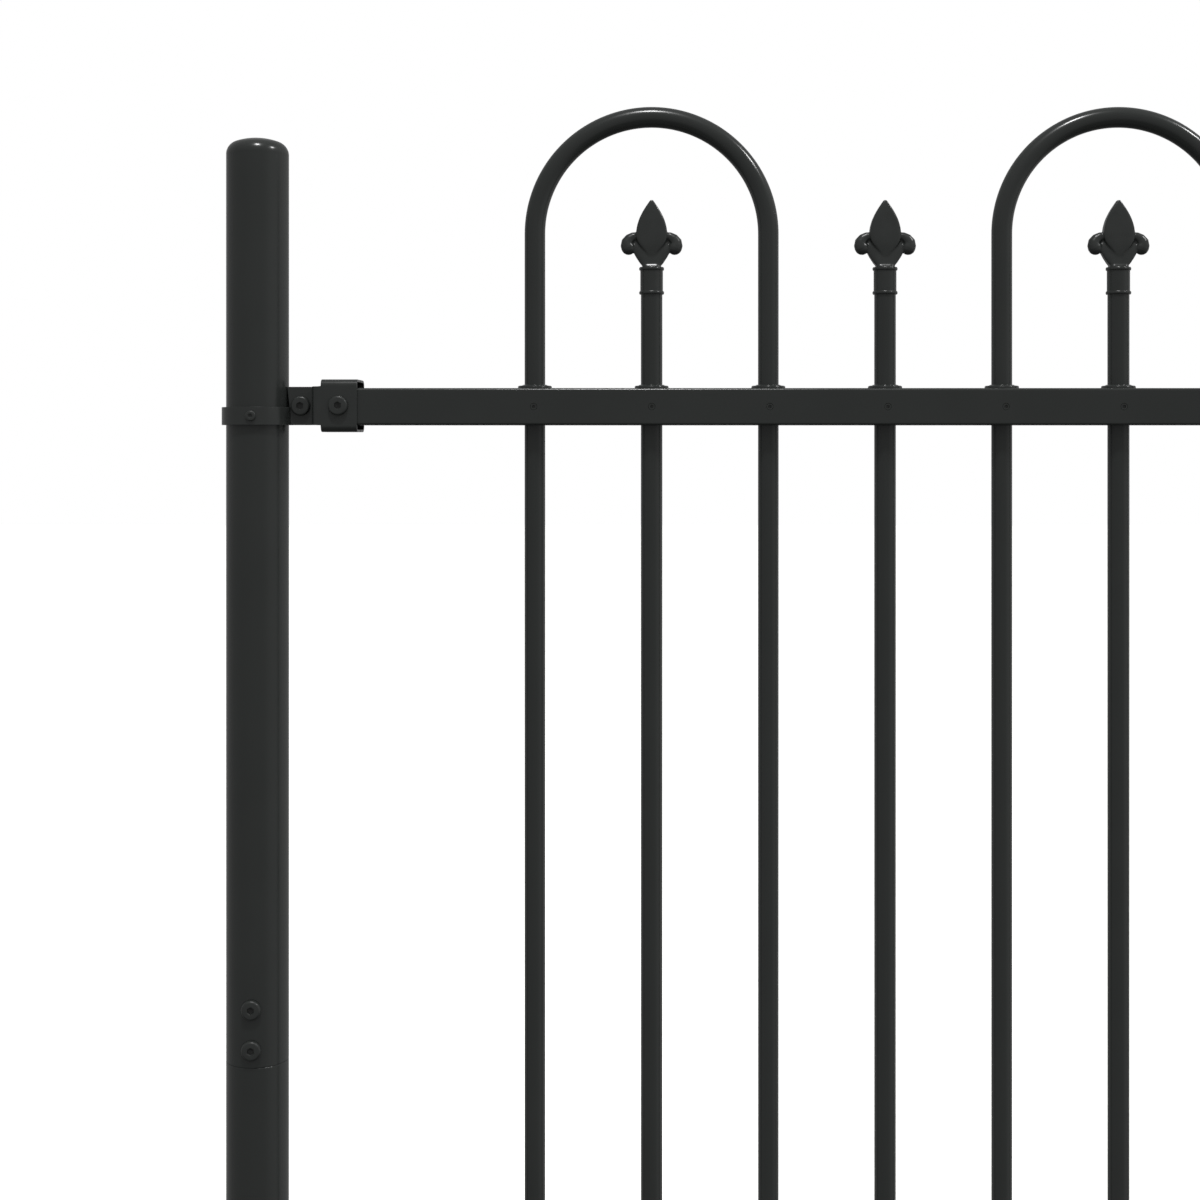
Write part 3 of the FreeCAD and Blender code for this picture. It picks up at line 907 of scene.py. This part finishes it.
# ---- Posts ----
@dataclass
class Post(Assembly):
    """A post's cap, its splice screws, its base plate and the weld round its foot."""

    side: Side
    tube_radius: float = 0.0240
    tube_bore: float = 0.0224
    cap_edge: float = 0.0105
    cap_crown: float = 0.0500
    plug_length: float = 0.0220
    plate_edge: float = 0.0008
    plate_corner: float = 0.0080
    hole: float = 0.0110
    hole_spacing: float = 0.1100
    plate_thickness: float = 0.0060
    slip: float = 0.0001  # round the cap's plug
    lead: float = 0.0020  # bevel of the plug's end
    screw_length: float = 0.0140
    screw_thread: float = 0.0100
    weld_leg: float = 0.0040
    weld_root: float = 0.0005  # how far the bead goes into the plate and the tube
    weld_ripples: int = 60
    weld_dip: tuple[float, float, float] = (0.985, 0.985, 0.95)

    # the bead's section, in legs out from the tube and up from the plate
    BEAD = ((0, 0), (1, 0), (0.96, 0.28), (0.70, 0.66), (0.34, 0.94), (0, 1.08), (0, 0))

    def __post_init__(self) -> None:
        """Find the post's axis at the ground."""
        self.axis = Vector((middle(f"{self.side.label}_upper_tube")[0], 0, 0))

    def cap(self) -> Piece:
        """Turn the cap: a plug, a round edge and a shallow dome.

        Returns:
            The cap.
        """
        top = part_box(f"{self.side.label}_post_cap")[1].z
        reach = self.tube_radius - self.cap_edge
        rise = math.sqrt((self.cap_crown - self.cap_edge) ** 2 - reach**2)
        foot = top - self.cap_crown + rise
        lean = math.degrees(math.asin(reach / (self.cap_crown - self.cap_edge)))
        plug = self.tube_bore - self.slip
        rings = [(plug - self.lead, foot - self.plug_length), (plug, foot - self.plug_length + self.lead),
                 (plug, foot)]
        rings += arc((reach, foot), self.cap_edge, 0, 90 - lean, steps=12)
        rings += arc((0, top - self.cap_crown), self.cap_crown, 90 - lean, 89.5, steps=8)[1:]
        return turn("cap", rings, self.axis, sides=96)

    def screws(self) -> Piece:
        """Two screws through the splice.

        Returns:
            Both screws as one piece.
        """
        low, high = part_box(f"{self.side.label}_splice_screws")
        head = ButtonHead()
        heights = (low.z + head.diameter / 2, high.z - head.diameter / 2)
        seats = [self.axis + Vector((0, -self.tube_radius, height)) for height in heights]
        return join("splice", [head.build(seat, self.screw_length, self.screw_thread) for seat in seats])

    def plate(self) -> Piece:
        """A square plate with round corners and four bolt holes.

        Returns:
            The plate with its weld.
        """
        low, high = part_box(f"{self.side.label}_base_plate")
        plate = begin("plate", bpy.ops.mesh.primitive_plane_add, size=high.x - low.x, location=self.axis)
        with editing(plate):
            whole(Kind.VERT)
            bpy.ops.mesh.bevel(affect="VERTICES", offset=self.plate_corner, segments=8)
            bpy.ops.mesh.select_all(action="SELECT")
            pull((0, 0, self.plate_thickness))
        tidy(plate)
        for sx in (-1, 1):
            for sy in (-1, 1):
                place = self.axis + Vector((sx, sy, 0)) * (self.hole_spacing / 2)
                drill(plate, place, self.hole / 2, (-0.01, 0.02))
        soften(plate, self.plate_edge, segments=2, sharp=35)
        return join("plate", [plate, self.weld()])

    def weld(self) -> Piece:
        """A weld bead in overlapping ripples round the tube's foot.

        Returns:
            The bead.
        """
        foot = self.plate_thickness - self.weld_root
        inner = self.tube_radius - self.weld_root
        leg = self.weld_leg
        rings = [(inner + out * leg, foot + up * leg) for out, up in self.BEAD]
        bead = turn("bead", rings, self.axis, sides=4 * self.weld_ripples, hollow=True)
        ripple = 2 * math.pi / self.weld_ripples

        def in_dip(place: Vector, way: Vector) -> bool:
            """Take the outer vertices in the first third of each ripple, which sinks in."""
            out = place - self.axis
            angle = math.atan2(out.y, out.x) % ripple
            return Vector((out.x, out.y)).length > inner + 0.2 * leg and angle < ripple / 3

        with editing(bead):
            pick(Kind.VERT, in_dip)
            resize(self.weld_dip, self.axis + Vector((0, 0, foot)))
        tidy(bead, 60)
        return bead

    def build(self) -> None:
        """Build the post's own pieces and dress its tubes."""
        side = self.side.label
        for name, piece, slot in (("post_cap", self.cap(), Slot.PLASTIC),
                                  ("splice_screws", self.screws(), Slot.FASTENER),
                                  ("base_plate", self.plate(), Slot.TUBE)):
            piece.name = f"{side}_{name}_formed"
            self.wardrobe.hand_over(piece, slot, f"{side}_{name}")
        for tube in ("upper_tube", "lower_tube"):
            self.wardrobe.keep(f"{side}_{tube}", Slot.TUBE)


# ---- Panel ----
@dataclass
class Finial(Assembly):
    """A cast fleur-de-lis head: a flat pointed blade before a flared root, with a curled leaf each side.

    The blade, the root and the leaves are lofted apart and then cast into one skin, so that soft hollows
    run between them. The collar with its two beads is turned.
    """

    collar_radius: float = 0.0088
    bead_radius: float = 0.0097
    bead_height: float = 0.0026
    upper_bead: float = 0.0186
    spigot_radius: float = 0.0070
    spigot_length: float = 0.0180
    spigot_edge: float = 0.0010
    shoulder: tuple[float, float] = (0.0079, 0.0001)  # radius, and height above the upper bead
    collar_end: tuple[float, float] = (0.0066, 0.0216)  # radius and height inside the root
    bead_steps: int = 8
    bead_fullness: float = 0.7
    leaf_depth: float = 0.9  # how deep a leaf is for its width
    grain: float = 0.0005  # size of the cast skin's faces

    # height above the collar's foot, half width, half thickness
    BLADE = ((26.0, 1.8, 4.0), (29.0, 2.9, 4.6), (32.0, 4.6, 4.9), (35.0, 7.1, 5.2), (38.0, 9.4, 5.4),
             (41.0, 11.1, 5.4), (44.0, 12.0, 5.3), (47.0, 12.2, 5.2), (49.0, 12.0, 5.1), (52.0, 11.6, 4.9),
             (55.2, 10.8, 4.7), (58.3, 9.8, 4.5), (61.4, 8.4, 4.2), (64.5, 6.8, 3.9), (67.6, 4.9, 3.5),
             (70.0, 3.3, 3.1), (71.8, 2.1, 2.7), (73.3, 1.0, 2.2))
    ROOT = ((20.6, 7.7, 6.5), (21.6, 7.2, 6.3), (22.2, 7.2, 6.05), (22.8, 7.6, 5.65), (23.3, 8.1, 5.3),
            (24.2, 8.9, 5.15), (26.0, 10.1, 4.9), (28.5, 11.8, 4.6), (31.0, 13.2, 4.3), (34.0, 14.6, 3.9),
            (37.0, 15.0, 3.3), (39.5, 14.0, 2.7), (41.5, 12.6, 2.1), (43.0, 10.5, 1.5))
    # half path of a leaf from inside the blade, over and down to its lobe: x, height, radius
    LEAF = ((8.0, 44.4, 3.2), (11.0, 45.2, 3.3), (14.0, 44.9, 3.6), (16.8, 43.3, 4.2), (18.6, 40.8, 4.9),
            (18.8, 38.4, 5.4), (18.0, 36.4, 5.7))
    LOBE = (25, 50, 72, 86)  # degrees round the lobe's end at its sections

    def loft(self, name: str, rows: Sequence[Sequence[float]], corner: float) -> Piece:
        """Draw a closed shape up from a flat-fronted section.

        Args:
            name: The shape's name.
            rows: Height, half width and half thickness in mm.
            corner: How much of the section its round corners take, from 0 to 1.

        Returns:
            The shape.
        """
        height, wide, thick = (value * MM for value in rows[0])
        shape = begin(name, bpy.ops.mesh.primitive_plane_add, size=2, location=(0, 0, height))
        with editing(shape):
            whole(Kind.VERT)
            bpy.ops.mesh.bevel(affect="VERTICES", offset=corner, segments=6)
        shape.scale = (wide, thick, 1)
        settle(shape)
        with editing(shape):
            whole(Kind.FACE)
            for row in rows[1:]:
                new_height, new_wide, new_thick = (value * MM for value in row)
                pull((0, 0, new_height - height))
                resize((new_wide / wide, new_thick / thick, 1), Vector((0, 0, new_height)))
                height, wide, thick = new_height, new_wide, new_thick
        tidy(shape)
        return shape

    def leaf(self) -> Piece:
        """Draw a round bar along the leaf's curl, and round off its lobe.

        Returns:
            The right leaf.
        """
        stops = [(Vector((x * MM, 0, z * MM)), r * MM) for x, z, r in self.LEAF]
        first, radius = stops[0]
        heading = (stops[1][0] - first).normalized()
        leaf = begin("leaf", bpy.ops.mesh.primitive_circle_add, vertices=24, radius=radius,
                     fill_type="NGON", location=first,
                     rotation=heading.to_track_quat("Z", "Y").to_euler())
        with editing(leaf):
            whole(Kind.FACE)
            for number in range(1, len(stops)):
                place, new_radius = stops[number]
                follow = stops[min(number + 1, len(stops) - 1)][0] - stops[number - 1][0]
                bend = heading.rotation_difference(follow.normalized())
                pull(place - stops[number - 1][0])
                self.swing(bend.to_matrix(), place)
                resize([new_radius / radius] * 3, place)
                heading, radius = follow.normalized(), new_radius
            end, lobe = stops[-1]
            for angle in map(math.radians, self.LOBE):
                pull(end + heading * (lobe * math.sin(angle)) - self.section_middle())
                resize([lobe * math.cos(angle) / radius] * 3, self.section_middle())
                radius = lobe * math.cos(angle)
            bpy.ops.mesh.select_all(action="SELECT")
            resize((1, self.leaf_depth, 1), ORIGIN)
        tidy(leaf)
        return leaf

    def section_middle(self) -> Vector:
        """Find where the section stands.

        Returns:
            The middle of the selected vertices.
        """
        shape = bmesh.from_edit_mesh(bpy.context.object.data)
        places = [vert.co for vert in shape.verts if vert.select]
        return sum(places, Vector()) / len(places)

    def swing(self, bend: Matrix, place: Vector) -> None:
        """Turn the selected section about Y to face along the leaf.

        Args:
            bend: The turn.
            place: The section's middle.
        """
        angle = bend.to_euler().y
        before = self.normal()
        bpy.ops.transform.rotate(value=-angle, orient_axis="Y", center_override=place)
        if (self.normal() - bend @ before).length > 0.01:
            bpy.ops.transform.rotate(value=2 * angle, orient_axis="Y", center_override=place)

    def normal(self) -> Vector:
        """Find which way the section faces.

        Returns:
            The normal of the selected face.
        """
        shape = bmesh.from_edit_mesh(bpy.context.object.data)
        shape.normal_update()
        return next(face.normal.copy() for face in shape.faces if face.select)

    def collar(self) -> Piece:
        """Turn the collar with a bead at each end, on its spigot.

        Returns:
            The collar.
        """
        rings = [(self.spigot_radius - self.spigot_edge, -self.spigot_length),
                 (self.spigot_radius, self.spigot_edge - self.spigot_length), (self.spigot_radius, 0),
                 (self.collar_radius, 0)]
        swell = self.bead_radius - self.collar_radius
        for foot in (0.0, self.upper_bead):
            for step in range(self.bead_steps + 1):
                share = math.radians(180 * step / self.bead_steps)
                out = math.sin(share) ** self.bead_fullness if 0 < step < self.bead_steps else 0
                rings.append((self.collar_radius + swell * out,
                              foot + self.bead_height * (1 - math.cos(share)) / 2))
        radius, height = self.shoulder
        rings += [(radius, self.upper_bead + self.bead_height + height), self.collar_end]
        return turn("collar", rings, sides=64)

    def cast(self) -> Piece:
        """Run the blade, the root and the leaves into one skin with soft hollows.

        Returns:
            The head above the collar.
        """
        leaf = self.leaf()
        twin = copy_to(leaf, "twin", Matrix.Scale(-1, 4, Vector((1, 0, 0))))
        tidy(twin)
        head = join("head", [self.loft("blade", self.BLADE, corner=0.32),
                             self.loft("root", self.ROOT, corner=0.5), leaf, twin])
        modify(head, "REMESH", mode="VOXEL", voxel_size=self.grain, use_smooth_shade=True)
        modify(head, "SMOOTH", factor=0.5, iterations=6)
        return head

    def build(self) -> None:
        """Cast one head and copy it to every picket."""
        names = sorted(name for name in frame["nodes"] if name.startswith("finial_"))
        master = join("master", [self.collar(), self.cast()])
        for name in names:
            place = Vector((middle(name)[0], 0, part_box(name.replace("finial", "picket"))[1].z))
            piece = copy_to(master, f"{name}_cast", Matrix.Translation(place))
            self.wardrobe.hand_over(piece, Slot.CAST, name)
        bpy.data.objects.remove(master)


@dataclass
class Panel(Assembly):
    """The rails with their bushes and screws, the hoops and the pickets."""

    upright_count: int = 15
    hoop_leg_radius: float = 0.0080
    picket_radius: float = 0.00835
    slip: float = 0.0001
    bush_flange: float = 0.0132
    bush_height: float = 0.0023
    bush_lip: float = 0.0006
    bush_wall: float = 0.0010
    bush_reach: float = 0.0025
    bush_rise: tuple[float, float] = (0.0014, 0.0006)  # from the tube's wall, where the lip starts to rise
    bush_edge: float = 0.0002
    hoop_steps: int = 96  # facets round a hoop's bend
    tube_wall: float = 0.0012
    screw_head: float = 0.0052
    screw_shank: float = 0.0040
    screw_inset: float = 0.0002
    screw_socket: float = 0.0025
    screw_socket_depth: float = 0.0011
    screw_edge: float = 0.0001
    screw_tip: float = 0.0006
    screw_sink: float = 0.0013  # depth of the countersink
    screw_bite: float = 0.0027  # past the upright's front

    def uprights(self) -> list[tuple[float, float]]:
        """Where the uprights stand.

        Returns:
            X and radius of each upright, from left to right.
        """
        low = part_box("hoop_1")[0].x + self.hoop_leg_radius
        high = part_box("hoop_4")[1].x - self.hoop_leg_radius
        pitch = (high - low) / (self.upright_count - 1)
        radii = (self.hoop_leg_radius, self.picket_radius)
        return [(low + index * pitch, radii[index % 2]) for index in range(self.upright_count)]

    def bush(self, radius: float) -> Piece:
        """Turn a flanged bush with a hollowed top that rises to a lip.

        Args:
            radius: The upright's radius.

        Returns:
            The bush round the origin.
        """
        inner = radius + self.slip
        outer = inner + self.bush_wall
        wide = self.bush_flange
        top = self.bush_height
        rings = [(inner, -self.bush_reach), (outer, -self.bush_reach), (outer, 0), (wide, 0),
                 (wide, 0.45 * top)]
        rings += arc((wide - 0.5 * top, 0.45 * top), 0.5 * top, 30, 80, 3)
        foot, bend = self.bush_rise
        lip = top + self.bush_lip
        rings += [(outer + foot, top), (outer + bend, top + 0.3 * self.bush_lip), (outer, lip),
                  (inner + self.bush_edge, lip), (inner, top + 0.5 * self.bush_lip), rings[0]]
        return turn("bush", rings, hollow=True)

    def hoop(self, name: str) -> Piece:
        """Bend a tube: up one leg, half round and down the other, with its screw holes.

        Args:
            name: The hoop's node.

        Returns:
            The hoop.
        """
        low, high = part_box(name)
        radius = self.hoop_leg_radius
        left, right = low.x + radius, high.x - radius
        bend = (right - left) / 2
        spring = high.z - radius - bend
        tube = begin("tube", bpy.ops.mesh.primitive_circle_add, vertices=48, radius=radius,
                     fill_type="NOTHING", location=(left, 0, low.z))
        with editing(tube):
            whole(Kind.EDGE)
            pull((0, 0, spring - low.z))
            fold(Vector((left + bend, 0, spring)), Vector((0, 1, 0)), math.pi, self.hoop_steps)
            pull((0, 0, low.z - spring))
            merge()
        thicken(tube, self.tube_wall, axis=2, outwards=False)
        hole = self.screw_shank / 2 + self.slip
        for level in Level:
            for x in (left, right):
                place = Vector((x, 0, middle(f"{level.value}_rail")[2]))
                drill(tube, place, hole, (radius / 2, radius * 2), FRONT, sides=24)
        tidy(tube)
        return tube

    def screw(self, reach: float) -> Piece:
        """Turn a countersunk screw with a hexagon socket, with the rail's face at Y 0.

        Args:
            reach: From the rail's face to the screw's point.

        Returns:
            The screw.
        """
        head, shank = self.screw_head / 2, self.screw_shank / 2
        inset = -self.screw_inset
        edge = self.screw_edge
        rings = [(shank - self.screw_tip, -reach), (shank, self.screw_tip - reach),
                 (shank, inset - self.screw_sink), (head - edge, inset - edge), (head - 2 * edge, inset)]
        screw = turn("screw", rings, ORIGIN, FRONT, sides=32)
        corner = self.screw_socket / math.sqrt(3)
        well = [(corner + 2 * edge, inset + 2 * edge), (corner, inset - edge),
                (corner, inset - self.screw_socket_depth)]
        cut(screw, turn("well", well, ORIGIN, FRONT, sides=6))
        tidy(screw, 30)
        return screw

    def build(self) -> None:
        """Build the small parts of both rails and the hoops, and dress the tubes."""
        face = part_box("top_rail")[0].y
        bushes = {radius: self.bush(radius) for radius in (self.hoop_leg_radius, self.picket_radius)}
        screws = {radius: self.screw(-face - radius + self.screw_bite) for radius in bushes}
        for level in Level:
            rail = f"{level.value}_rail"
            top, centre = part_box(rail)[1].z, middle(rail)[2]
            rings, pins = [], []
            for x, radius in self.uprights():
                rings.append(copy_to(bushes[radius], "ring", Matrix.Translation((x, 0, top))))
                pins.append(copy_to(screws[radius], "pin", Matrix.Translation((x, face, centre))))
            self.wardrobe.hand_over(join(f"{level.value}_bushes_moulded", rings), Slot.PLASTIC,
                                    f"{level.value}_bushes")
            self.wardrobe.hand_over(join(f"{level.value}_picket_screws_formed", pins), Slot.FASTENER,
                                    f"{level.value}_picket_screws")
            self.wardrobe.keep(rail, Slot.TUBE)
        for piece in (*bushes.values(), *screws.values()):
            bpy.data.objects.remove(piece)
        for name in sorted(frame["nodes"]):
            if name.startswith("picket_"):
                self.wardrobe.keep(name, Slot.TUBE)
        hoops = sorted(name for name in frame["nodes"] if name.startswith("hoop_"))
        master = self.hoop(hoops[0])
        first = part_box(hoops[0])[0].x
        for name in hoops:
            piece = copy_to(master, f"{name}_bent", Matrix.Translation((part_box(name)[0].x - first, 0, 0)))
            self.wardrobe.hand_over(piece, Slot.TUBE, name)
        bpy.data.objects.remove(master)


# ---- Stage ----
@dataclass(frozen=True)
class Softbox:
    """One square studio light, by the direction that it shines from."""

    name: str
    direction: tuple[float, float, float]
    size: tuple[float, float]
    watts: float
    distance: float = 4.0

    def hang(self, aim: Vector) -> None:
        """Hang the light.

        Args:
            aim: The point that it faces.
        """
        data = bpy.data.lights.new(self.name, "AREA")
        data.shape = "RECTANGLE"
        data.size, data.size_y = self.size
        data.energy = self.watts
        lamp = bpy.data.objects.new(self.name, data)
        away = Vector(self.direction).normalized()
        lamp.location = aim + away * self.distance
        lamp.rotation_euler = away.to_track_quat("Z", "Y").to_euler()
        bpy.context.scene.collection.objects.link(lamp)


@dataclass
class Studio:
    """A pale floor, soft lights and the camera, set from the left post and the top rail."""

    focal_mm: float = 57.0
    sensor_mm: float = 36.0
    distance: float = 1.476
    camera_right: float = 0.297  # from the left post's axis
    camera_drop: float = 0.0257  # below the top rail's centre line
    shift: tuple[float, float] = (-0.0333, -0.1333)
    floor_size: float = 40.0
    floor_colour: str = "#F6F6F4"
    sky: tuple[float, float] = (0.72, 1.50)  # what lights the floor and the object, from low to overhead
    ground_light: float = 0.36  # what comes from below
    backdrop: float = 1.0
    gloss_sky: float = 0.36  # what the coat mirrors
    gloss_side: float = 0.57  # what it mirrors of the bright wall to the right
    wall_span: tuple[float, float] = (0.5, 0.95)  # where the wall begins and is full, in X
    ground_span: tuple[float, float] = (-0.70, -0.30)  # where the light from below ends, in Z
    lamps: tuple[Softbox, ...] = (
        Softbox("softbox_top", (0.07, -0.43, 0.90), (0.42, 0.42), 108),
        Softbox("softbox_right", (0.76, -0.20, 0.61), (0.42, 0.42), 50),
    )

    WHITE = (1, 1, 1, 1)

    def camera(self) -> None:
        """Stand the level camera in front of the left post."""
        data = bpy.data.cameras.new("camera")
        data.lens = self.focal_mm
        data.sensor_width = self.sensor_mm
        data.shift_x, data.shift_y = self.shift
        camera = bpy.data.objects.new("camera", data)
        camera.location = (middle("left_upper_tube")[0] + self.camera_right, -self.distance,
                           middle("top_rail")[2] - self.camera_drop)
        camera.rotation_euler = (math.radians(90), 0, 0)
        bpy.context.scene.collection.objects.link(camera)
        bpy.context.scene.camera = camera

    def floor(self) -> None:
        """Lay the floor that the base plates stand on."""
        ground = begin("floor", bpy.ops.mesh.primitive_plane_add, size=self.floor_size,
                       location=(0, 0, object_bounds()[0].z))
        material = bpy.data.materials.new("pale_floor")
        material.use_nodes = True
        shader = material.node_tree.nodes["Principled BSDF"]
        shader.inputs["Base Color"].default_value = linear(self.floor_colour)
        shader.inputs["Roughness"].default_value = 0.9
        shader.inputs["Specular IOR Level"].default_value = 0.1
        ground.data.materials.append(material)
        ground.visible_glossy = False
        ground.visible_diffuse = False
        ground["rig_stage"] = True

    def lights(self) -> None:
        """Light the bay from a soft dome and two softboxes, in front of a white backdrop."""
        world = bpy.data.worlds.new("studio")
        world.use_nodes = True
        tree = world.node_tree
        tree.nodes.clear()
        coordinates = add_node(tree, "TexCoord").outputs["Generated"]
        way = add_node(tree, "SeparateXYZ", {}, {0: coordinates}).outputs
        dome = remap(tree, way["Z"], (0.0, 1.0), self.sky)
        wall = remap(tree, way["X"], self.wall_span, (self.gloss_sky, self.gloss_side), "SMOOTHSTEP")
        above = remap(tree, way["Z"], self.ground_span, (self.ground_light, 1.0), "SMOOTHSTEP")
        path = add_node(tree, "LightPath").outputs
        soft, mirrored = (self.background(tree, light, above) for light in (dome, wall))
        seen = add_node(tree, "Background", {"Color": self.WHITE, "Strength": self.backdrop})
        sky = add_node(tree, "MixShader", {}, {0: path["Is Glossy Ray"], 1: soft, 2: mirrored})
        view = add_node(tree, "MixShader", {},
                        {0: path["Is Camera Ray"], 1: sky.outputs[0], 2: seen.outputs[0]})
        add_node(tree, "OutputWorld", {}, {"Surface": view.outputs[0]})
        bpy.context.scene.world = world
        for lamp in self.lamps:
            lamp.hang(Vector(middle("left_post_cap")))
        bpy.context.scene.view_settings.view_transform = "Standard"

    def background(self, tree: Tree, light: Socket, above: Socket) -> Socket:
        """Add a white background.

        Args:
            tree: The world's tree.
            light: How bright it is.
            above: The share of that which the direction lets through.

        Returns:
            The background's shader.
        """
        times = add_node(tree, "Math", {"operation": "MULTIPLY"}, {0: light, 1: above}).outputs
        white = add_node(tree, "Background", {"Color": self.WHITE}, {"Strength": times[0]})
        return white.outputs[0]


def main() -> None:
    """Build the looks in order."""
    logging.basicConfig(level=logging.INFO, format="%(name)s %(message)s")
    wardrobe = Wardrobe()
    for side in Side:
        Post(wardrobe, side).build()
    Clamp(wardrobe).build()
    Panel(wardrobe).build()
    Finial(wardrobe).build()
    studio = Studio()
    studio.camera()
    studio.floor()
    studio.lights()


if __name__ == "__main__":
    main()
